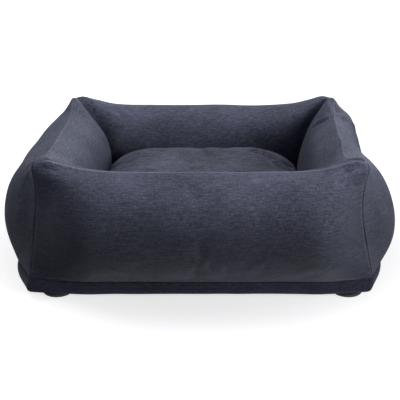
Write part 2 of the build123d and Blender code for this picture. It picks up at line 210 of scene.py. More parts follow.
# Walls: direction out, the ring line's distance and half length, the sill's distance out in the middle
WALLS = {
    "front": (Vector((0, -1, 0)), RING_HALF_DEPTH, RING_HALF_LENGTH, 0.042),
    "right": (Vector((1, 0, 0)), RING_HALF_LENGTH, RING_HALF_DEPTH, 0.058),
    "rear": (Vector((0, 1, 0)), RING_HALF_DEPTH, RING_HALF_LENGTH, 0.048),
    "left": (Vector((-1, 0, 0)), RING_HALF_LENGTH, RING_HALF_DEPTH, 0.058),
}

# Angles above which an edge stays sharp, in degrees
LATHE_SHARP = 35
MOULDED_SHARP = 40
CUT_SHARP = 55
CLOTH_SHARP = 60

# Mesh helpers


def new_object(name, verts, faces, smooth=True):
    """An object from points and faces, its faces turned outwards."""
    mesh = bpy.data.meshes.new(name)
    mesh.from_pydata([tuple(v) for v in verts], [], faces)
    work = bmesh.new()
    work.from_mesh(mesh)
    bmesh.ops.recalc_face_normals(work, faces=work.faces)
    work.to_mesh(mesh)
    work.free()
    obj = bpy.data.objects.new(name, mesh)
    bpy.context.scene.collection.objects.link(obj)
    if smooth:
        mesh.shade_smooth()
    return obj


def mesh_object(name, mesh, sharp_angle=MOULDED_SHARP):
    """An object from a bmesh, smooth except over its sharp edges."""
    bmesh.ops.recalc_face_normals(mesh, faces=mesh.faces)
    data = bpy.data.meshes.new(name)
    mesh.to_mesh(data)
    mesh.free()
    obj = bpy.data.objects.new(name, data)
    bpy.context.scene.collection.objects.link(obj)
    data.shade_smooth()
    data.set_sharp_from_angle(angle=math.radians(sharp_angle))
    return obj


def positions(obj):
    flat = np.empty(len(obj.data.vertices) * 3)
    obj.data.vertices.foreach_get("co", flat)
    return flat.reshape(-1, 3)


def set_positions(obj, points):
    obj.data.vertices.foreach_set("co", np.asarray(points, float).ravel())
    obj.data.update()


def normals(obj):
    flat = np.empty(len(obj.data.vertices) * 3)
    obj.data.vertex_normals.foreach_get("vector", flat)
    return flat.reshape(-1, 3)


def apply_modifiers(obj):
    depsgraph = bpy.context.evaluated_depsgraph_get()
    mesh = bpy.data.meshes.new_from_object(
        obj.evaluated_get(depsgraph), preserve_all_data_layers=True, depsgraph=depsgraph)
    obj.modifiers.clear()
    old = obj.data
    obj.data = mesh
    bpy.data.meshes.remove(old)
    mesh.name = obj.name


def grid_faces(columns, rows):
    """Faces of a grid whose points are listed column by column."""
    faces = []
    for i in range(columns - 1):
        for j in range(rows - 1):
            k = i * rows + j
            faces.append((k, k + rows, k + rows + 1, k + 1))
    return faces


def tube_faces(rings, sides, closed=False, first=0):
    """Faces between rings of points that are listed ring by ring."""
    faces = []
    for i in range(rings if closed else rings - 1):
        here, ahead = (first + r % rings * sides for r in (i, i + 1))
        for k in range(sides):
            m = (k + 1) % sides
            faces.append((here + k, here + m, ahead + m, ahead + k))
    return faces


def square_grid(count):
    """Places of a square grid's points, from -1 to 1, and how far out each is."""
    side = np.linspace(-1, 1, count + 1)
    u, v = (g.ravel() for g in np.meshgrid(side, side, indexing="ij"))
    return u, v, np.maximum(np.abs(u), np.abs(v))


def pillow(top, under, on_edge):
    """Points and faces of two square grids that share the points of their edges."""
    side = math.isqrt(len(top))
    below = np.where(on_edge, np.arange(len(top)), len(top) + np.cumsum(~on_edge) - 1)
    faces = []
    for face in grid_faces(side, side):
        faces.append(face)
        faces.append(tuple(int(below[k]) for k in reversed(face)))
    return np.vstack([top, under[~on_edge]]), faces


def write_attribute(obj, name, values):
    """Stores a vector at each point, for the materials."""
    attribute = obj.data.attributes.new(name, "FLOAT_VECTOR", "POINT")
    attribute.data.foreach_set("vector", np.asarray(values, float).ravel())


def subdivide(obj):
    modifier = obj.modifiers.new("smooth", "SUBSURF")
    modifier.levels = 1
    modifier.render_levels = 1
    apply_modifiers(obj)
    obj.data.shade_smooth()


def cut_away(obj, tool):
    """Cuts a closed tool mesh out of a piece, and deletes the tool."""
    modifier = obj.modifiers.new("cut", "BOOLEAN")
    modifier.operation = "DIFFERENCE"
    modifier.solver = "MANIFOLD"
    modifier.object = tool
    apply_modifiers(obj)
    bpy.data.objects.remove(tool)
    obj.data.shade_smooth()
    obj.data.set_sharp_from_angle(angle=math.radians(CUT_SHARP))


def box_tool(low, high):
    """A closed box between two corners."""
    mesh = bmesh.new()
    bmesh.ops.create_cube(mesh, size=1)
    for vert in mesh.verts:
        vert.co = Vector((h + l) / 2 + c * (h - l) for c, l, h in zip(vert.co, low, high))
    return mesh_object("tool", mesh)


def lathe(name, profile, origin, axis, segments=64, wave=None):
    """Turns a profile (radius, height) round an axis. Its ends close on the axis or on each other."""
    axis = Vector(axis).normalized()
    side = axis.orthogonal().normalized()
    other = axis.cross(side)
    mesh = bmesh.new()
    rings = []
    for i in range(segments):
        angle = 2 * math.pi * i / segments
        direction = side * math.cos(angle) + other * math.sin(angle)
        ring = []
        for radius, height in profile:
            swollen = radius * (wave(angle, height) if wave else 1)
            ring.append(mesh.verts.new(Vector(origin) + direction * swollen + axis * height))
        rings.append(ring)
    open_ends = profile[0][0] == 0 and profile[-1][0] == 0
    spans = len(profile) - 1 if open_ends else len(profile)
    for i in range(segments):
        a, b = rings[i], rings[(i + 1) % segments]
        for k in range(spans):
            m = (k + 1) % len(profile)
            mesh.faces.new((a[k], b[k], b[m], a[m]))
    bmesh.ops.remove_doubles(mesh, verts=mesh.verts, dist=1e-6)
    return mesh_object(name, mesh, LATHE_SHARP)


# Curve and number helpers


def arc(a, middle, b, count):
    """Points on the circle through three points, from the first to the last."""
    a, middle, b = (np.array(p, float) for p in (a, middle, b))
    rows = 2 * np.array([middle - a, b - a])
    centre = np.linalg.solve(rows, [middle @ middle - a @ a, b @ b - a @ a])
    radius = np.linalg.norm(a - centre)
    angles = [math.atan2(*(p - centre)[::-1]) for p in (a, middle, b)]
    turn = (angles[2] - angles[0]) % (2 * math.pi)
    if (angles[1] - angles[0]) % (2 * math.pi) > turn:
        turn -= 2 * math.pi
    t = angles[0] + turn * np.linspace(0, 1, count)
    return centre + radius * np.column_stack([np.cos(t), np.sin(t)])


def lengths(points):
    """Distance travelled along a line, at each of its points."""
    steps = np.linalg.norm(np.diff(points, axis=0), axis=1)
    return np.concatenate([[0], np.cumsum(steps)])


def resample(points, count):
    """The same line, at evenly spaced places along its length."""
    points = np.asarray(points, float)
    at = lengths(points)
    wanted = np.linspace(0, at[-1], count)
    return np.column_stack([np.interp(wanted, at, points[:, k]) for k in range(points.shape[1])])


def smooth_line(points, widest):
    """Moving average along a line. The window closes at its ends."""
    last = len(points) - 1
    out = []
    for i in range(len(points)):
        w = min(widest, i, last - i)
        out.append(points[i - w:i + w + 1].mean(axis=0))
    return np.array(out)


def spline(points, count):
    """A smooth line through the points, by cubic pieces."""
    p = np.asarray(points, float)
    ends = np.vstack([2 * p[0] - p[1], p, 2 * p[-1] - p[-2]])
    out = []
    for i in range(1, len(ends) - 2):
        a, b, c, d = ends[i - 1:i + 3]
        t = np.linspace(0, 1, 24, endpoint=False)[:, None]
        out.append(0.5 * (2 * b + (c - a) * t + (2 * a - 5 * b + 4 * c - d) * t**2
                          + (3 * b - a - 3 * c + d) * t**3))
    out.append(p[-1:])
    return resample(np.vstack(out), count)


def smoothstep(x):
    x = np.clip(x, 0, 1)
    return x * x * (3 - 2 * x)


def ripple(points, size, seed):
    """Smooth noise at each point, from about -1 to 1."""
    shift = Vector((seed * 7.3, seed * 3.1, seed * 5.7))
    return np.array([noise.noise(Vector(p) / size + shift) for p in points])


def settle(points):
    """Moves points of the soft pieces into the bed's uneven stance."""
    points = np.array(points, float)
    shift = np.zeros_like(points)
    for middle, spread, push in STANCE:
        away = (points - np.array(middle)) / np.array(spread)
        shift += np.exp(-(away ** 2).sum(axis=-1))[..., None] * np.array(push)
    return points + shift


def swell(inward, length):
    """Share of a wall's full bulge at a distance from its corner seam."""
    near = np.clip(inward / length, 0, 1) ** SWELL_START
    return 1 - (1 - near) ** SWELL_POWER


def crease(obj, path, depth, width):
    """Presses a fold into a piece along a path of points near its surface, with a lip each side."""
    points = positions(obj)
    line = spline(path, FOLD_POINTS)
    a, b = line[:-1], line[1:]
    reach = lengths(line)[-1] / 2 + FOLD_REACH * width
    near = np.linalg.norm(points - np.mean(path, axis=0), axis=1) < reach
    some = points[near][:, None, :]
    t = ((some - a) * (b - a)).sum(axis=2) / ((b - a) ** 2).sum(axis=1)
    t = np.clip(t, 0, 1)
    away = np.linalg.norm(some - (a + t[..., None] * (b - a)), axis=2)
    nearest = away.argmin(axis=1)
    rows = np.arange(len(nearest))
    along = (nearest + t[rows, nearest]) / len(a)
    r = away[rows, nearest] / width
    press = np.exp(-r ** 2) - LIP_SHARE * np.exp(-(r - LIP_PLACE) ** 2)
    taper = np.sin(math.pi * np.clip(along, 0.02, 0.98)) ** FOLD_BLUNTNESS
    points[near] -= normals(obj)[near] * (depth * press * taper)[:, None]
    set_positions(obj, points)


def fold(obj):
    """Presses the piece's own folds into it."""
    for depth, width, path in FOLDS[obj.name]:
        crease(obj, path, depth, width)


def rough_cloth(obj, to_seam, along_seam, seed, share=1.0):
    """Puckers the cloth beside a seam, and makes all of it a little uneven."""
    points = positions(obj)
    places = np.column_stack([along_seam, to_seam * PUCKER_SLENDERNESS, np.zeros_like(to_seam)])
    pucker = ripple(places, PUCKER_SPACING, seed) * np.exp(-to_seam / PUCKER_REACH)
    pucker *= smoothstep(to_seam / PUCKER_START)
    uneven = ripple(points, UNEVEN_SPACING, seed + 1) * smoothstep(to_seam / UNEVEN_START)
    lift = PUCKER_DEPTH * pucker * share + UNEVEN_DEPTH * uneven
    set_positions(obj, points + normals(obj) * lift[:, None])


def inflate(obj, pinned, stretch, pressure):
    """Lets cloth billow under pressure. Returns how far each point moved."""
    start = positions(obj)
    group = obj.vertex_groups.new(name="pinned")
    group.add([int(i) for i in np.flatnonzero(pinned)], 1.0, "REPLACE")
    cloth = obj.modifiers.new("cloth", "CLOTH")
    settings = cloth.settings
    for key, value in CLOTH_SETTINGS.items():
        setattr(settings, key, value)
    settings.vertex_group_mass = "pinned"
    settings.shrink_min = -stretch
    settings.uniform_pressure_force = pressure
    settings.effector_weights.gravity = 0
    cloth.collision_settings.use_collision = False
    cloth.point_cache.frame_start = 1
    cloth.point_cache.frame_end = SIM_FRAMES
    scene = bpy.context.scene
    for f in range(1, SIM_FRAMES + 1):
        scene.frame_set(f)
    apply_modifiers(obj)
    scene.frame_set(1)
    obj.vertex_groups.clear()
    return positions(obj) - start


def capped(moved, reach):
    """The same moves, none longer than the reach."""
    length = np.linalg.norm(moved, axis=-1, keepdims=True)
    return moved * np.minimum(1, reach / np.maximum(length, 1e-9))


# Wall form


def middle_section(sill_out):
    """Section of a wall in its middle: two arcs, rounded where they meet. Each round brings the
    rounded top nearer to the ridge's height."""
    lift = 0.0
    for _ in range(4):
        top = (RIDGE_OUT, RIDGE_RISE + lift)
        outer = arc((sill_out, 0), (BULGE_OUT, BULGE_OUT_RISE), top, ARC_POINTS)
        inner = arc(top, (-BULGE_IN, BULGE_IN_RISE), (-SILL_IN, 0), ARC_POINTS)
        line = resample(np.vstack([outer, inner[1:]]), SECTION_POINTS)
        line = smooth_line(line, round(RIDGE_ROUNDING / np.linalg.norm(line[1] - line[0])))
        lift += RIDGE_RISE - line[:, 1].max()
    return section_rows(line, line[:, 1].argmax())


def section_rows(line, peak):
    """The rows of a section: outer, ridge, inner. The rows beside the ridge stand close to it."""
    at = lengths(line)
    before = np.linspace(0, at[peak] - WELT_REACH, OUTER_ROWS)
    after = np.linspace(at[peak] + WELT_REACH, at[-1], INNER_ROWS)
    wanted = np.concatenate([before, [at[peak]], after])
    return np.column_stack([np.interp(wanted, at, line[:, k]) for k in (0, 1)])


def seam_section():
    """The corner seam in its mitre plane, with as many rows as the wall's section."""
    dense = spline(SEAM_POINTS, SEAM_LINE_POINTS)
    tip = np.linalg.norm(dense - np.array(SEAM_POINTS[EAR_TIP_POINT]), axis=1).argmin()
    return section_rows(dense, tip)


def column_places(half):
    """Places of a wall's columns from its middle, closer together near the seams."""
    near = half - np.array(SEAM_COLUMNS)
    count = round(2 * near[-1] / COLUMN_PITCH)
    return np.concatenate([-near[:-1], np.linspace(-near[-1], near[-1], count + 1), near[:-1][::-1]])


def wall_grid(name):
    """Points of a wall panel, its weave places, and distances from corner seam, ridge and base."""
    out, reach, half, sill_out = WALLS[name]
    along = UP.cross(out)
    middle = middle_section(sill_out)
    seam = seam_section()
    u = column_places(half)[:, None] / half
    ends = half + seam[:, 0][None, :]
    a = u * ends
    inward = (1 - np.abs(u)) * ends
    past_ridge = np.arange(len(seam)) - OUTER_ROWS
    inside = smoothstep((past_ridge + RIDGE_BLEND_ROWS) / (2 * RIDGE_BLEND_ROWS))
    share = swell(inward, SWELL_OUT_LENGTH + (SWELL_IN_LENGTH - SWELL_OUT_LENGTH) * inside)
    profile = spline(EAR_PROFILE, EAR_LINE_POINTS)
    climb = np.interp(inward, profile[:, 0], profile[:, 1])
    level = np.clip(middle[:, 1] / SEAM_FULL_RISE, 0, 1) * (1 - 2 * inside)
    sunk = SEAM_DEPTH * (1 - np.exp(-(inward / SEAM_REACH) ** 2))
    around = np.broadcast_to(lengths(middle), a.shape)
    to_base = np.minimum(around, around[0, -1] - around)
    tucked = TUCK_DEPTH * np.exp(-(to_base / TUCK_REACH) ** 2) * (1 - 2 * inside)
    t = seam[:, 0] + (middle[:, 0] - seam[:, 0]) * share + sunk * level - tucked
    welt = WELT_RISE * (past_ridge == 0) * smoothstep(inward / WELT_START)
    z = seam[:, 1] + (middle[:, 1] - seam[:, 1]) * climb + welt
    points = (a[..., None] * np.array(along) + (reach + t)[..., None] * np.array(out)
              + (SEAM_Z + z)[..., None] * np.array(UP))
    weave = np.stack([a, around, np.zeros_like(a)], axis=-1)
    lines = np.stack([inward, np.abs(around - around[0, OUTER_ROWS]), to_base], axis=-1)
    return points, weave, lines


def close_panel(obj, columns, rows):
    """Closes a wall panel along its sill and across its mitred ends."""
    mesh = bmesh.new()
    mesh.from_mesh(obj.data)
    mesh.verts.ensure_lookup_table()

    def at(i, j):
        return mesh.verts[i * rows + j]

    for i in range(columns - 1):
        mesh.faces.new((at(i, 0), at(i, rows - 1), at(i + 1, rows - 1), at(i + 1, 0)))
    for i in (0, columns - 1):
        for j in range(rows // 2):
            across = rows - 1 - j
            mesh.faces.new(dict.fromkeys((at(i, j), at(i, j + 1), at(i, across - 1), at(i, across))))
    crease_layer = mesh.edges.layers.float.new("crease_edge")
    for i in (0, columns - 1):
        for j in range(rows - 1):
            mesh.edges.get((at(i, j), at(i, j + 1)))[crease_layer] = 1
    for i in range(columns - 1):
        for j in (0, rows - 1):
            mesh.edges.get((at(i, j), at(i + 1, j)))[crease_layer] = 1
    bmesh.ops.recalc_face_normals(mesh, faces=mesh.faces)
    mesh.to_mesh(obj.data)
    mesh.free()


def make_wall(name):
    """A wall's cover: its form, billowed by air, puckered at its seams and closed underneath."""
    points, weave, lines = wall_grid(name)
    columns, rows = points.shape[:2]
    points = settle(points)
    obj = new_object(name + "_wall", points.reshape(-1, 3), grid_faces(columns, rows))
    write_attribute(obj, "weave", weave.reshape(-1, 3))
    write_attribute(obj, "lines", lines.reshape(-1, 3))
    pinned = np.zeros((columns, rows))
    pinned[[0, -1], :] = 1
    pinned[:, [0, -1]] = 1
    moved = inflate(obj, pinned.ravel(), WALL_STRETCH, WALL_PRESSURE).reshape(points.shape)
    moved = capped(moved, WALL_REACH)
    moved *= smoothstep(lines[..., :1] / SIM_SEAM_FADE) * smoothstep(lines[..., 2:] / SIM_BASE_FADE)
    ridge_drop = smooth_line(moved[:, OUTER_ROWS], RIDGE_SMOOTHING)
    height = (points[..., 2:] - SEAM_Z) / RIDGE_RISE
    moved -= ridge_drop[:, None, :] * np.clip(height, 0, 1) ** 2
    set_positions(obj, points + moved)
    to_seam, _, to_base = lines.reshape(-1, 3).T
    seed = list(WALLS).index(name) * 4
    rough_cloth(obj, to_seam, weave[..., 1].ravel(), seed)
    rough_cloth(obj, to_base, weave[..., 0].ravel(), seed + 2, BASE_PUCKER_SHARE)
    close_panel(obj, columns, rows)
    subdivide(obj)
    obj.data.set_sharp_from_angle(angle=math.radians(CLOTH_SHARP))
    return obj


def make_chamber(name):
    """The air tube inside a wall, which follows the wall's form."""
    points, _, lines = wall_grid(name)
    points = settle(points)
    out, reach, _, _ = WALLS[name]
    inside = np.flatnonzero(lines[:, 0, 0] > CHAMBER_END)
    columns = np.linspace(inside[0], inside[-1], CHAMBER_COLUMNS).round().astype(int)
    rows = np.linspace(0, points.shape[1] - 1, CHAMBER_ROWS).round().astype(int)
    points = points[columns][:, rows]
    across = np.array(out)
    centre = points - (points @ across)[..., None] * across + reach * across
    centre[..., 2] = CHAMBER_Z
    points = centre + CHAMBER_SHARE * (points - centre)
    count = points.shape[:2]
    obj = new_object(name + "_air_tube", points.reshape(-1, 3), grid_faces(*count))
    close_panel(obj, *count)
    return obj


# Base band, one closed ring under the walls

# Section of the band, from the wall's seam down and back up: out from the sill, height
BAND_OUTER = [
    (-0.0030, 0.0384), (0.0004, 0.0366), (0.0018, 0.0330), (0.0022, 0.0270), (0.0020, 0.0205),
    (0.0006, 0.0150), (-0.0024, 0.0116), (-0.0085, 0.0102), (-0.0160, 0.0100),
]
BAND_INNER = [
    (-0.0160, 0.0122), (-0.0092, 0.0124), (-0.0048, 0.0138), (-0.0020, 0.0168),
    (-0.0006, 0.0222), (-0.0006, 0.0288), (-0.0018, 0.0340), (-0.0044, 0.0384),
]

# Its sides ripple, and its lower edge hangs in waves: depth, spacing, and the edge's lift
BAND_RIPPLE = 0.0010
BAND_RIPPLE_SPACING = 0.045
BAND_WAVE = 0.0013
BAND_WAVE_SPACING = 0.07
BAND_WAVE_LIFT = 0.4
BAND_LOW_Z = 0.010
BAND_LOW_FADE = 0.024


def make_band():
    """The band: its section carried round the base along the walls' lower line."""
    profile = np.array(BAND_OUTER + BAND_INNER)
    rows = len(profile)
    around = lengths(profile)
    points, weave = [], []
    travelled = 0.0
    for out, reach, half, sill_out in WALLS.values():
        along = UP.cross(out)
        end = half + CORNER_SILL_OUT
        count = round(2 * half / COLUMN_PITCH)
        for i in range(count):
            u = 2 * i / count - 1
            share = swell((1 - abs(u)) * end, SWELL_OUT_LENGTH)
            t = CORNER_SILL_OUT + (sill_out - CORNER_SILL_OUT) * share
            for (away, z), place in zip(profile, around):
                points.append(along * u * (end + away) + out * (reach + t + away) + UP * z)
                weave.append((travelled + u * end, place, 1.0))
        travelled += 2 * end
    points = settle(points)
    flat = points * np.array([1, 1, 0])
    outward = flat / np.linalg.norm(flat, axis=1, keepdims=True)
    low = 1 - smoothstep((points[:, 2] - BAND_LOW_Z) / BAND_LOW_FADE)
    points = points + outward * (ripple(points, BAND_RIPPLE_SPACING, 3) * BAND_RIPPLE)[:, None]
    points[:, 2] += (BAND_WAVE_LIFT + ripple(flat, BAND_WAVE_SPACING, 5)) * BAND_WAVE * low
    obj = new_object("base_band", points, tube_faces(len(points) // rows, rows, closed=True))
    write_attribute(obj, "weave", weave)
    write_attribute(obj, "lines", [(1.0, 1.0, place[1]) for place in weave])
    subdivide(obj)
    return obj


# Cushion

CUSHION_HALF_LENGTH = 0.221
CUSHION_HALF_DEPTH = 0.175
CUSHION_SEAM_Z = 0.128
CUSHION_TOP_Z = 0.184
CUSHION_FLOOR_Z = 0.0386
CUSHION_CORNERS = 5.0
CUSHION_WAIST = 0.022

# Its crown and its floor towards the seam: where the slope starts, how round it is
CROWN_START = 5
CROWN_ROUNDING = 0.56
FLOOR_START = 9
FLOOR_ROUNDING = 0.5

CUSHION_GRID = 64
CUSHION_STRETCH = 0.020
CUSHION_PRESSURE = 1.2
CUSHION_REACH = 0.007
CUSHION_PINNED_RISE = 0.004
CUSHION_LEVEL_RISE = 0.03
CUSHION_WEAVE = 0.8
PIPING_RADIUS = 0.0026
PIPING_SIDES = 10


def make_cushion():
    """The cushion, and the line of its seam. Its panels are square grids drawn out to the seam."""
    u, v, ring = square_grid(CUSHION_GRID)
    norm = (np.abs(u) ** CUSHION_CORNERS + np.abs(v) ** CUSHION_CORNERS) ** (1 / CUSHION_CORNERS)
    scale = np.where(ring > 0, 1 / np.maximum(norm, 1e-9), 0)
    edge_x, edge_y = u * scale, v * scale
    edge_x, edge_y = (
        CUSHION_HALF_LENGTH * edge_x * (1 - CUSHION_WAIST * (1 - edge_y ** 2)),
        CUSHION_HALF_DEPTH * edge_y * (1 - CUSHION_WAIST * (1 - edge_x ** 2)),
    )
    r = np.sin(math.pi / 2 * ring)
    crown = (CUSHION_TOP_Z - CUSHION_SEAM_Z) * (1 - r ** CROWN_START) ** CROWN_ROUNDING
    depth = (CUSHION_SEAM_Z - CUSHION_FLOOR_Z) * (1 - r ** FLOOR_START) ** FLOOR_ROUNDING
    top = np.column_stack([edge_x * r, edge_y * r, CUSHION_SEAM_Z + crown])
    under = np.column_stack([edge_x * r, edge_y * r, CUSHION_SEAM_Z - depth])
    on_seam = ring > 1 - 1e-9
    verts, faces = pillow(top, under, on_seam)
    obj = new_object("cushion", verts, faces)
    write_attribute(obj, "weave", verts * CUSHION_WEAVE)
    write_attribute(obj, "lines", np.full(verts.shape, 1.0))
    pinned = verts[:, 2] < CUSHION_FLOOR_Z + CUSHION_PINNED_RISE
    pinned[:len(r)][on_seam] = True
    moved = capped(inflate(obj, pinned, CUSHION_STRETCH, CUSHION_PRESSURE), CUSHION_REACH)
    middle_rise = moved[len(r) // 2, 2]
    moved[:, 2] -= smoothstep((verts[:, 2] - CUSHION_SEAM_Z) / CUSHION_LEVEL_RISE) * middle_rise
    set_positions(obj, verts + moved)
    to_seam = (1 - np.concatenate([ring, ring[~on_seam]])) * CUSHION_HALF_DEPTH
    rough_cloth(obj, to_seam, np.arctan2(verts[:, 1], verts[:, 0]) * CUSHION_HALF_DEPTH, 21)
    rim = np.flatnonzero(on_seam)
    rim = rim[np.argsort(np.arctan2(verts[rim, 1], verts[rim, 0]))]
    subdivide(obj)
    return obj, verts[rim]


def make_piping(name, line, radius):
    """Cord sewn along a closed seam, a closed tube."""
    count = len(line)
    verts = []
    for i in range(count):
        ahead = Vector(line[(i + 1) % count] - line[i - 1]).normalized()
        outward = ahead.cross(UP)
        for k in range(PIPING_SIDES):
            angle = 2 * math.pi * k / PIPING_SIDES
            verts.append(Vector(line[i]) + radius * (outward * math.cos(angle) + UP * math.sin(angle)))
    obj = new_object(name, verts, tube_faces(count, PIPING_SIDES, closed=True))
    write_attribute(obj, "weave", verts)
    write_attribute(obj, "lines", np.full((len(verts), 3), 1.0))
    return obj


# Panels of the base: half length, half depth, lower and upper face
UNDERSIDE = (0.348, 0.288, 0.0082, 0.0100)
INNER_FLOOR = (0.3540, 0.2920, 0.0362, 0.0379)
PANEL_BOW = 0.085
PANEL_GRID = 48
PANEL_EDGE = 30
PANEL_FULLNESS = 0.8
PANEL_WAVE_SHARE = 0.2
PANEL_WAVE_SPACING = 0.06


def make_panel(name, half_length, half_depth, low, high, seed):
    """A sewn floor panel, closed, its sides bowed out as the base is."""
    u, v, edge = square_grid(PANEL_GRID)
    x = u * half_length * (1 - PANEL_BOW * v ** 4)
    y = v * half_depth * (1 - PANEL_BOW * u ** 4)
    thick = PANEL_FULLNESS * (high - low) / 2 * (1 - edge ** PANEL_EDGE) ** 0.5
    wave = ripple(np.column_stack([x, y, np.zeros_like(x)]), PANEL_WAVE_SPACING, seed)
    middle = (high + low) / 2 + wave * (high - low) * PANEL_WAVE_SHARE * (1 - edge ** 8)
    top = np.column_stack([x, y, middle + thick])
    under = np.column_stack([x, y, middle - thick])
    obj = new_object(name, *pillow(top, under, edge > 1 - 1e-9))
    subdivide(obj)
    return obj


# Foot: radius, height
FOOT_PROFILE = [
    (0, 0.0079), (0.0250, 0.0079), (0.0280, 0.0074), (0.0296, 0.0060), (0.0300, 0.0044),
    (0.0294, 0.0022), (0.0276, 0.0005), (0.0250, 0.0), (0.0226, 0.0), (0.0218, 0.0011),
    (0.0186, 0.0011), (0.0178, 0.0), (0.0142, 0.0), (0.0134, 0.0011), (0.0102, 0.0011),
    (0.0094, 0.0), (0.0050, 0.0), (0.0042, 0.0009), (0, 0.0009),
]
FOOT_X = 0.280
FOOT_Y = 0.2559
FOOT_PLACES = [(x, y) for x in (-FOOT_X, FOOT_X) for y in (-FOOT_Y, FOOT_Y)]
FOOT_SEGMENTS = 72

# Valves: radius, and height out from the ring's face in the cloth
RING_PROFILE = [
    (0.0115, -0.0042), (0.0115, 0.0003), (0.0119, 0.0008), (0.0131, 0.0011), (0.0144, 0.0008),
    (0.0150, 0.0001), (0.0150, -0.0006), (0.0125, -0.0007), (0.0125, -0.0042),
]
CAP_PROFILE = [
    (0, 0.0044), (0.0050, 0.0044), (0.0054, 0.0049), (0.0076, 0.0049), (0.0082, 0.0046),
    (0.0084, 0.0040), (0.0084, 0.0004), (0.0081, 0.0), (0.0069, 0.0), (0.0069, 0.0032), (0, 0.0032),
]
CAP_RIBS = 28
CAP_RIB_SHARE = 0.022
CAP_RIB_TOP = 0.0045
CAP_SINK = 0.0039

# The middle of each ring's face in the cloth, the way it faces, and its size against the profiles
WALL_VALVE = Vector((-0.120, 0.3436, 0.130))
WALL_VALVE_WAY = Vector((0, 1, 0))
WALL_VALVE_SHARE = 1.0
BASE_VALVE = Vector((-0.3582, 0.090, 0.025))
BASE_VALVE_WAY = Vector((-1, 0, 0))
BASE_VALVE_SHARE = 0.5

# Cloth round a ring: radius to which it is level, radius where it is free, how far off it is caught
WALL_SEAT = (0.017, 0.042, 0.010)
BASE_SEAT = (0.009, 0.024, 0.004)

# Holes for the stems. The wall's goes deep, so that the flap can swing, and is wider in the air tube.
HOLE_RADIUS = 0.0123
HOLE_SEGMENTS = 48
FLAP_ROOM = 0.022
BASE_HOLE_DEPTH = 0.008
TUBE_HOLE_WIDER = 1.04
TUBE_HOLE_DEEPER = 1.02


def ribbed(angle, height):
    """A cap's radius round its side, against its profile's: ribs up to its top edge."""
    return 1 + CAP_RIB_SHARE * math.cos(CAP_RIBS * angle) * (0 < height < CAP_RIB_TOP)


def seat_cloth(obj, centre, axis, flat, fade, reach):
    """Draws cloth level with a ring that is set in it."""
    points = positions(obj)
    offset = points - np.array(centre)
    axis = np.array(axis, float)
    out = offset @ axis
    radius = np.linalg.norm(offset - out[:, None] * axis, axis=1)
    share = 1 - smoothstep((radius - flat) / (fade - flat))
    share *= 1 - smoothstep(np.abs(out) / reach - 1)
    set_positions(obj, points - (out * share)[:, None] * axis)


def cut_hole(obj, centre, axis, radius, depth):
    """A round hole, as deep on both sides of its centre."""
    profile = [(0, -depth), (radius, -depth), (radius, depth), (0, depth)]
    cut_away(obj, lathe("tool", profile, centre, axis, HOLE_SEGMENTS))


# Zip: half lengths, heights and depths of its slot and its parts
ZIP_HALF_LENGTH = 0.170
ZIP_Z = 0.027
ZIP_FACE = 0.2995
SLOT_LOW = (-0.1755, 0.285, 0.0232)
SLOT_HIGH = (0.1755, 0.320, 0.0308)
TAPE_STEPS = 170
TOOTH_PITCH = 0.0020

# Outline of half a tooth: along the tape, away from the middle. Then its layers: how far in, how high.
HALF_TOOTH = [(0.00045, 0.00035), (0.0008, 0.0006), (0.0008, 0.0010), (0.00045, 0.0013), (0.00045, 0.0026)]
TOOTH = [(-along, away) for along, away in reversed(HALF_TOOTH)] + HALF_TOOTH
TOOTH_LAYERS = [(0.0, 0.0), (0.0, 0.0016), (0.00018, 0.0020)]
TOOTH_HALF_LENGTH = 0.0008
TOOTH_TIP = 0.0005

# Section of a tape, from the bead that carries the teeth: away from the middle, depth
TAPE_SECTION = [
    (0.0017, 0.0), (0.0019, 0.0002), (0.0030, 0.0002), (0.0034, -0.0001), (0.0086, -0.0001),
    (0.0087, -0.0007), (0.0034, -0.0008), (0.0022, -0.0008), (0.0017, -0.0006),
]


def make_teeth(name, side):
    """A row of moulded teeth. The two rows stand half a pitch apart."""
    count = round(2 * ZIP_HALF_LENGTH / TOOTH_PITCH) - 1
    corners = len(TOOTH)
    verts, faces = [], []
    for i in range(count):
        x = -ZIP_HALF_LENGTH + (i + 0.75 + 0.25 * side) * TOOTH_PITCH
        first = len(verts)
        for inset, rise in TOOTH_LAYERS:
            for along, away in TOOTH:
                near = along * (1 - inset / TOOTH_HALF_LENGTH)
                drawn_in = inset * (away < TOOTH_TIP)
                verts.append((x + near, ZIP_FACE + rise, ZIP_Z + side * (away + drawn_in)))
        faces += tube_faces(len(TOOTH_LAYERS), corners, first=first)
        faces.append(tuple(range(first, first + corners)))
        faces.append(tuple(range(first + 3 * corners - 1, first + 2 * corners - 1, -1)))
    return new_object(name, verts, faces, smooth=False)


def make_tape(name, side):
    """A strip of woven tape with the bead that carries the teeth."""
    rows = len(TAPE_SECTION)
    verts = []
    for i in range(TAPE_STEPS + 1):
        x = -ZIP_HALF_LENGTH + 2 * ZIP_HALF_LENGTH * i / TAPE_STEPS
        verts += [(x, ZIP_FACE + depth, ZIP_Z + side * away) for away, depth in TAPE_SECTION]
    faces = tube_faces(TAPE_STEPS + 1, rows)
    faces.append(tuple(range(rows)))
    faces.append(tuple(range(len(verts) - 1, len(verts) - 1 - rows, -1)))
    obj = new_object(name, verts, faces)
    obj.data.set_sharp_from_angle(angle=math.radians(MOULDED_SHARP))
    return obj


# Materials


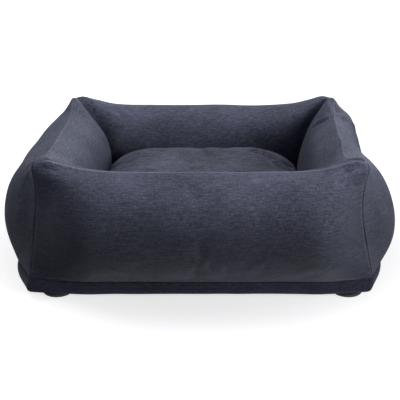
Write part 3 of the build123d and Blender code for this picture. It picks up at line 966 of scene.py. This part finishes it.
class Nodes:
    """A short way to write the nodes of a material or a world."""

    def __init__(self, owner, shader="Principled BSDF"):
        owner.use_nodes = True
        self.owner = owner
        self.tree = owner.node_tree
        self.shader = self.tree.nodes[shader]

    def add(self, kind, inputs=None, **settings):
        node = self.tree.nodes.new(kind)
        for key, value in settings.items():
            setattr(node, key, value)
        for key, value in (inputs or {}).items():
            self.put(node.inputs[key], value)
        return node

    def put(self, socket, value):
        if isinstance(value, bpy.types.NodeSocket):
            self.tree.links.new(value, socket)
        else:
            socket.default_value = value

    def set(self, name, value):
        self.put(self.shader.inputs[name], value)

    def math(self, operation, *values):
        node = self.add("ShaderNodeMath", operation=operation)
        for socket, value in zip(node.inputs, values):
            self.put(socket, value)
        return node.outputs[0]

    def total(self, start, *parts):
        """Start plus each (value, weight) pair."""
        result = start
        for value, weight in parts:
            result = self.math("MULTIPLY_ADD", value, weight, result)
        return result

    def between(self, value, low, high):
        """0 below low, 1 above high, smooth between them."""
        node = self.add("ShaderNodeMapRange", {
            "Value": value, "From Min": low, "From Max": high,
        }, interpolation_type="SMOOTHSTEP")
        return node.outputs["Result"]

    def noise(self, vector, scale, detail=2.0, roughness=0.5):
        """Noise about zero."""
        node = self.add("ShaderNodeTexNoise", {
            "Vector": vector, "Scale": scale, "Detail": detail, "Roughness": roughness,
        })
        return self.math("SUBTRACT", node.outputs["Fac"], 0.5)

    def scaled(self, vector, scale):
        node = self.add("ShaderNodeVectorMath", {0: vector, 1: scale}, operation="MULTIPLY")
        return node.outputs[0]

    def attribute(self, name):
        return self.add("ShaderNodeAttribute", attribute_name=name).outputs["Vector"]

    def parts(self, vector):
        return self.add("ShaderNodeSeparateXYZ", {"Vector": vector}).outputs

    def body_place(self):
        return self.add("ShaderNodeTexCoord").outputs["Object"]

    def shades(self, tone, colour, stops):
        """Shares of a colour along a tone: pairs of place and share."""
        node = self.add("ShaderNodeValToRGB", {"Fac": tone})
        elements = node.color_ramp.elements
        while len(elements) < len(stops):
            elements.new(0.5)
        for element, (place, share) in zip(elements, stops):
            element.position = place
            element.color = (*(c * share for c in colour), 1)
        return node.outputs["Color"]

    def threads(self, vector, weft_pitch, warp_pitch):
        """Over and under of a plain weave, from -1 to 1."""
        x, y, _ = self.parts(vector)
        weft = self.math("SINE", self.math("MULTIPLY", x, 2 * math.pi / weft_pitch))
        warp = self.math("SINE", self.math("MULTIPLY", y, 2 * math.pi / warp_pitch))
        return self.math("MULTIPLY", weft, warp)

    def seen(self):
        """1 where the backdrop is looked at, straight, in a gloss or through a clear piece."""
        rays = self.add("ShaderNodeLightPath").outputs
        past = self.math("MAXIMUM", rays["Is Glossy Ray"], rays["Is Transmission Ray"])
        return self.math("MAXIMUM", rays["Is Camera Ray"], past)

    def mixed(self, factor, low, high):
        """The low colour where the factor is 0, the high one where it is 1."""
        node = self.add("ShaderNodeMix", {"Factor": factor}, data_type="RGBA")
        for socket, colour in zip((k for k in node.inputs if k.type == "RGBA"), (low, high)):
            socket.default_value = colour
        return next(k for k in node.outputs if k.type == "RGBA")

    def bump(self, height, distance, strength):
        self.set("Normal", self.add("ShaderNodeBump", {
            "Height": height, "Distance": distance, "Strength": strength,
        }).outputs["Normal"])


# Threads of the weave: noise per metre along, across and through, its detail and roughness, its
# share of the tone
THREADS = {
    "slub": ((90, 640, 320), 3.0, 0.6, 1.6),
    "hatch": ((480, 110, 110), 3.0, 0.65, 1.1),
    "fine": ((700, 1300, 700), 1.0, 0.5, 0.90),
    "streak": ((26, 300, 120), 3.0, 0.6, 0.85),
}
BLOTCH_SHARE = 0.30
CLOUD_SHARE = 0.60
WEFT_PITCH = 0.0017
WARP_PITCH = 0.0014

# Painted light and shade: the cloth is made paler where it faces up and higher on the bed, and darker
# where it faces down and low on the bed
PAINTED_LIGHT_FACING_UP = (-0.5, 0.95)
PAINTED_LIGHT_HIGH_UP = (0.10, 0.26)

# Lines in the cloth: distances over which they set in, the painted highlight beside the corner seams, and
# the seam's tone. The welt line and the band from EDGE_START to EDGE_END are painted highlights, along the
# ridge and beside each corner seam.
SEAM_LINE = (0.0006, 0.0024)
BASE_LINE = (0.0008, 0.0030)
WELT_LINE = (0.0006, 0.0020)
EDGE_START = (0.0022, 0.0032)
EDGE_END = (0.0036, 0.0048)
SEAM_LIP_PAINTED_HIGHLIGHT = 0.30
SEAM_TONE = 0.35

# Shades of a cloth: place on the tone, share of its colour
CLOTH_SHADES = [(0.05, 0.30), (0.5, 1.0), (0.95, 2.0)]
LINING_SHADES = [(0.1, 0.55), (0.5, 1.0), (0.9, 1.6)]
MOULDED_SHADES = [(0.2, 0.7), (0.5, 1.0), (0.8, 1.3)]


def fabric(name, colour, contrast=1.0, fade=0.0, rise=0.0, patchy=1.0, sheen=0.28, welt_painted_highlight=0.55):
    """Slubbed plain weave, for pieces that carry the weave and lines attributes. Fade and rise say how
    many times its brightness doubles, from low side to top and from low to high on the bed: painted light
    and shade. The welt and seam-lip tones are painted highlights."""
    n = Nodes(bpy.data.materials.new(name))
    place = n.attribute("weave")
    to_seam, to_ridge, to_base = n.parts(n.attribute("lines"))
    threads, tones = {}, []
    for thread, (scale, detail, roughness, share) in THREADS.items():
        threads[thread] = n.noise(n.scaled(place, scale), 1.0, detail, roughness)
        tones.append((threads[thread], share * contrast))
    blotch = n.noise(n.body_place(), 55.0, 4.0, 0.65)
    cloud = n.noise(n.body_place(), 9.0, 2.0, 0.5)
    # Painted highlights: welt lightens a line along the ridge and also lifts the bump, edge lightens a
    # band beside each corner seam
    welt = n.math("SUBTRACT", 1.0, n.between(to_ridge, *WELT_LINE))
    edge = n.math("SUBTRACT", n.between(to_seam, *EDGE_START), n.between(to_seam, *EDGE_END))
    tone = n.total(0.5, *tones, (blotch, BLOTCH_SHARE * patchy), (cloud, CLOUD_SHARE * patchy),
                   (welt, welt_painted_highlight), (edge, SEAM_LIP_PAINTED_HIGHLIGHT))
    # Painted light and shade, from which way the cloth faces and how high it is on the bed
    _, _, up = n.parts(n.add("ShaderNodeNewGeometry").outputs["Normal"])
    _, _, height = n.parts(n.body_place())
    painted_light = n.total(-0.5 * (fade + rise), (n.between(up, *PAINTED_LIGHT_FACING_UP), fade),
                    (n.between(height, *PAINTED_LIGHT_HIGH_UP), rise))
    open_cloth = n.math("MULTIPLY", n.between(to_seam, *SEAM_LINE), n.between(to_base, *BASE_LINE))
    sunk = n.total(SEAM_TONE, (open_cloth, 1 - SEAM_TONE))
    shade = n.math("MULTIPLY", n.math("POWER", 2.0, painted_light), sunk)
    woven = n.shades(tone, colour, CLOTH_SHADES)
    shaded = n.add("ShaderNodeVectorMath", {0: woven, "Scale": shade}, operation="SCALE")
    n.set("Base Color", shaded.outputs[0])
    grid = n.threads(place, WEFT_PITCH, WARP_PITCH)
    n.bump(n.total(0.0, (grid, 0.3), (threads["slub"], 1.4), (threads["fine"], 0.8),
                   (threads["hatch"], 0.6), (welt, 1.2)), 0.0010, 0.6)
    n.set("Roughness", n.total(0.88, (threads["fine"], 0.10)))
    n.set("Specular IOR Level", 0.22)
    n.set("Sheen Weight", sheen)
    n.set("Sheen Roughness", 0.4)
    n.set("Sheen Tint", (0.80, 0.84, 0.98, 1))
    return n.owner


WALL_COLOUR = (0.084, 0.090, 0.127)
# fade and rise paint light on the walls' tops and high parts, and shade on their low and down-facing parts
WALL_CLOTH = {"colour": WALL_COLOUR, "contrast": 0.88, "fade": 1.15, "rise": 1.0, "sheen": 0.38}
wall_fabric = fabric("wall_fabric", **WALL_CLOTH)
# The side walls carry a fainter painted highlight along their ridges
side_fabric = fabric("side_fabric", **WALL_CLOTH, welt_painted_highlight=0.10)
# Painted shade: the walls' cloth in a much darker colour for the band, low under the walls' bulge
shaded_band_fabric = fabric("shaded_band_fabric", (0.026, 0.028, 0.048))
# Painted light: the walls' cloth made a little paler for the cushion, and its fade lightens it where it
# faces up and darkens it where it faces down
cushion_fabric = fabric(
    "cushion_fabric", (0.096, 0.101, 0.142), contrast=1.3, fade=1.0, patchy=3.2, sheen=0.38)


def plain_weave(name, colour, pitch):
    """Fine even weave in body places, for linings and tapes."""
    n = Nodes(bpy.data.materials.new(name))
    x, y, z = n.parts(n.body_place())
    even = n.add("ShaderNodeCombineXYZ", {"X": x, "Y": n.math("ADD", y, z)}).outputs["Vector"]
    grid = n.threads(even, pitch, pitch)
    wear = n.noise(n.body_place(), 18.0, 3.0)
    n.set("Base Color", n.shades(n.total(0.5, (grid, 0.18), (wear, 0.6)), colour, LINING_SHADES))
    n.bump(grid, 0.0002, 0.6)
    n.set("Roughness", n.total(0.8, (wear, 0.15)))
    return n.owner


def moulded(name, colour, roughness, grain=900.0, depth=0.0001, metallic=0.0, mottle=0.5):
    """Plastic, rubber or metal: fine grain, a little mottle and uneven gloss."""
    n = Nodes(bpy.data.materials.new(name))
    grains = n.noise(n.body_place(), grain, 2.0)
    patches = n.noise(n.body_place(), 60.0, 3.0)
    n.set("Base Color", n.shades(n.total(0.5, (patches, mottle)), colour, MOULDED_SHADES))
    n.bump(grains, depth, 0.5)
    n.set("Roughness", n.total(roughness, (patches, 0.2), (grains, 0.1)))
    n.set("Metallic", metallic)
    return n.owner


lining = plain_weave("lining", (0.030, 0.031, 0.036), pitch=0.0012)
tape_weave = plain_weave("tape_weave", (0.040, 0.042, 0.058), pitch=0.0008)
air_film = moulded("air_film", (0.30, 0.31, 0.33), 0.35, grain=300.0)
valve_plastic = moulded("valve_plastic", (0.055, 0.057, 0.066), 0.42)
eyelet_plastic = moulded("eyelet_plastic", (0.085, 0.088, 0.100), 0.36)
flap_rubber = moulded("flap_rubber", (0.030, 0.030, 0.032), 0.65)
foot_rubber = moulded("foot_rubber", (0.022, 0.022, 0.024), 0.72, grain=700.0, depth=0.0003)
teeth_plastic = moulded("teeth_plastic", (0.045, 0.047, 0.060), 0.38)
zip_metal = moulded(
    "zip_metal", (0.36, 0.36, 0.38), 0.30, grain=1500.0, depth=0.00005, metallic=1.0, mottle=0.3)
foam = moulded("foam", (0.62, 0.58, 0.46), 0.92, grain=500.0, depth=0.0012, mottle=0.3)


def dress(obj, material, body="bed", nodes=()):
    """Gives a piece its material and body, and hides the imported nodes that it stands for."""
    obj.data.materials.clear()
    obj.data.materials.append(material)
    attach(obj, body)
    if nodes:
        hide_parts(*nodes)
    return obj


# The pieces

WALL_NODES = {
    "front": "front_rear_wall_covers",
    "rear": "front_rear_wall_covers",
    "left": "left_right_wall_covers",
    "right": "left_right_wall_covers",
}
for wall_name, node in WALL_NODES.items():
    wall = make_wall(wall_name)
    fold(wall)
    if wall_name == "rear":
        seat_cloth(wall, WALL_VALVE, WALL_VALVE_WAY, *WALL_SEAT)
        cut_hole(wall, WALL_VALVE, WALL_VALVE_WAY, HOLE_RADIUS, FLAP_ROOM)
    cloth = side_fabric if wall_name in ("left", "right") else wall_fabric
    dress(wall, cloth, "bed", [node])
    chamber = make_chamber(wall_name)
    if wall_name == "rear":
        hole, room = HOLE_RADIUS * TUBE_HOLE_WIDER, FLAP_ROOM * TUBE_HOLE_DEEPER
        cut_hole(chamber, WALL_VALVE, WALL_VALVE_WAY, hole, room)
    dress(chamber, air_film, "bed", ["wall_air_chamber"])

band = make_band()
seat_cloth(band, BASE_VALVE, BASE_VALVE_WAY, *BASE_SEAT)
cut_hole(band, BASE_VALVE, BASE_VALVE_WAY, HOLE_RADIUS * BASE_VALVE_SHARE, BASE_HOLE_DEPTH)
cut_away(band, box_tool(SLOT_LOW, SLOT_HIGH))
dress(band, shaded_band_fabric, "bed", [
    "front_base_band", "right_base_band", "rear_base_band", "left_base_band",
])

cushion, cushion_seam = make_cushion()
fold(cushion)
dress(cushion, cushion_fabric, "cushion", ["cushion_cover"])
piping = make_piping("cushion_piping", cushion_seam, PIPING_RADIUS)
dress(piping, cushion_fabric, "cushion")

underside = make_panel("underside", *UNDERSIDE, seed=11)
dress(underside, lining, "bed", ["underside_panel"])
inner_floor = make_panel("inner_floor", *INNER_FLOOR, seed=12)
dress(inner_floor, lining, "bed", ["floor_panel"])

for number, (x, y) in enumerate(FOOT_PLACES, 1):
    foot = lathe(f"foot_{number}", FOOT_PROFILE, (x, y, 0), UP, FOOT_SEGMENTS)
    dress(foot, foot_rubber, "bed", ["feet"])

for side, place in ((1, "upper"), (-1, "lower")):
    tape = make_tape(f"zip_{place}_tape", side)
    dress(tape, tape_weave, "bed", [f"rear_zip_{place}_tape"])
    teeth = make_teeth(f"zip_{place}_teeth", side)
    dress(teeth, teeth_plastic, "bed", [f"rear_zip_{place}_teeth"])

for place, centre, axis, share in (
    ("wall", WALL_VALVE, WALL_VALVE_WAY, WALL_VALVE_SHARE),
    ("base", BASE_VALVE, BASE_VALVE_WAY, BASE_VALVE_SHARE),
):
    ring_profile = [(r * share, h * share) for r, h in RING_PROFILE]
    ring = lathe(f"{place}_valve_ring", ring_profile, centre, axis)
    dress(ring, eyelet_plastic, "bed", ["valve_eyelets"])
    cap_profile = [(r * share, h * share) for r, h in CAP_PROFILE]
    cap_place = centre - axis * CAP_SINK * share
    cap = lathe(f"{place}_cap", cap_profile, cap_place, axis, 6 * CAP_RIBS, ribbed)
    dress(cap, valve_plastic, f"{place}_cap", [f"{place}_valve_cap"])

NODE_MATERIALS = {
    "base_air_chamber": air_film,
    "cushion_core": foam,
    "valve_stems": valve_plastic,
    "wall_valve_flap": flap_rubber,
    "base_valve_flap": flap_rubber,
    "rear_zip_slider": zip_metal,
    "rear_zip_pull": zip_metal,
}
for node_name, material in NODE_MATERIALS.items():
    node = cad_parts[node_name]
    node.data.materials.clear()
    node.data.materials.append(material)

# Floor. Where it is looked at it glows near white and takes shade, and other light meets a dark floor. Its
# glow is dimmer near the bed: a painted shadow round the bed.
FLOOR_HALF = 12.0
FLOOR_BOUNCE = 0.05
FLOOR_SHADE = 0.65
FLOOR_GLOW_IN_PAINTED_SHADOW = 0.66
PAINTED_SHADOW_REACH = (0.34, 0.62)
PAINTED_SHADOW_STRETCH = (1.0, 1.15, 1.0)
corners = [(x * FLOOR_HALF, y * FLOOR_HALF, 0.0) for x, y in ((-1, -1), (1, -1), (1, 1), (-1, 1))]
floor = new_object("floor", corners, [(0, 1, 2, 3)], smooth=False)
n = Nodes(bpy.data.materials.new("floor_white"))
seen = n.seen()
stretched = n.scaled(n.body_place(), PAINTED_SHADOW_STRETCH)
away = n.add("ShaderNodeVectorMath", {0: stretched}, operation="LENGTH").outputs["Value"]
# Painted shadow: the glow drops to its near value close to the bed
glow_with_painted_shadow = n.total(FLOOR_GLOW_IN_PAINTED_SHADOW, (n.between(away, *PAINTED_SHADOW_REACH), 1 - FLOOR_GLOW_IN_PAINTED_SHADOW))
n.set("Base Color", n.total(FLOOR_BOUNCE, (seen, FLOOR_SHADE)))
n.set("Roughness", 0.9)
n.set("Specular IOR Level", 0.0)
n.set("Emission Color", (1, 1, 1, 1))
n.set("Emission Strength", n.math("MULTIPLY", seen, glow_with_painted_shadow))
floor.data.materials.append(n.owner)

# Camera, fitted to the photo: pixel values are of its square frame
CAMERA_PLACE = (0.0, -1.6332, 0.7040)
CAMERA_PITCH = 20.5
FOCAL_PIXELS = 789.5
PHOTO_SIDE = 400
MIDDLE_PIXEL = 202.5
camera_data = bpy.data.cameras.new("camera")
camera_data.sensor_width = 36.0
camera_data.lens = camera_data.sensor_width * FOCAL_PIXELS / PHOTO_SIDE
camera_data.shift_x = (PHOTO_SIDE / 2 - MIDDLE_PIXEL) / PHOTO_SIDE
camera = bpy.data.objects.new("camera", camera_data)
camera.location = CAMERA_PLACE
camera.rotation_euler = (math.radians(90 - CAMERA_PITCH), 0, 0)
bpy.context.scene.collection.objects.link(camera)
bpy.context.scene.camera = camera

# Soft lamps: place, side length, watts
LAMPS = {
    "key": ((1.5, 1.3, 2.2), 1.5, 8),
    "back": ((-1.7, 0.7, 2.3), 1.6, 19),
    "side_low": ((2.4, -1.3, 0.65), 0.9, 24),
    "side": ((1.9, -2.1, 0.95), 0.9, 19),
    "rear": ((-0.3, 2.8, 0.5), 1.0, 20),
}
LAMP_TARGET = Vector((0, 0, 0.1))


def soft_light(name, place, size, power):
    """A square lamp that faces the bed."""
    data = bpy.data.lights.new(name, "AREA")
    data.shape = "SQUARE"
    data.size = size
    data.energy = power
    light = bpy.data.objects.new(name, data)
    light.location = place
    light.rotation_euler = (LAMP_TARGET - Vector(place)).to_track_quat("-Z", "Y").to_euler()
    bpy.context.scene.collection.objects.link(light)


for lamp_name, (lamp_place, lamp_size, watts) in LAMPS.items():
    soft_light(lamp_name, lamp_place, lamp_size, watts)

# World: white where it is looked at, a dim blue light elsewhere
AMBIENT = 0.04
AMBIENT_COLOUR = (0.28, 0.36, 1.0, 1)
world = bpy.data.worlds.new("studio")
bpy.context.scene.world = world
n = Nodes(world, "Background")
seen = n.seen()
n.set("Strength", n.math("MAXIMUM", seen, AMBIENT))
n.set("Color", n.mixed(seen, AMBIENT_COLOUR, (1, 1, 1, 1)))

bpy.context.scene.view_settings.view_transform = "Standard"
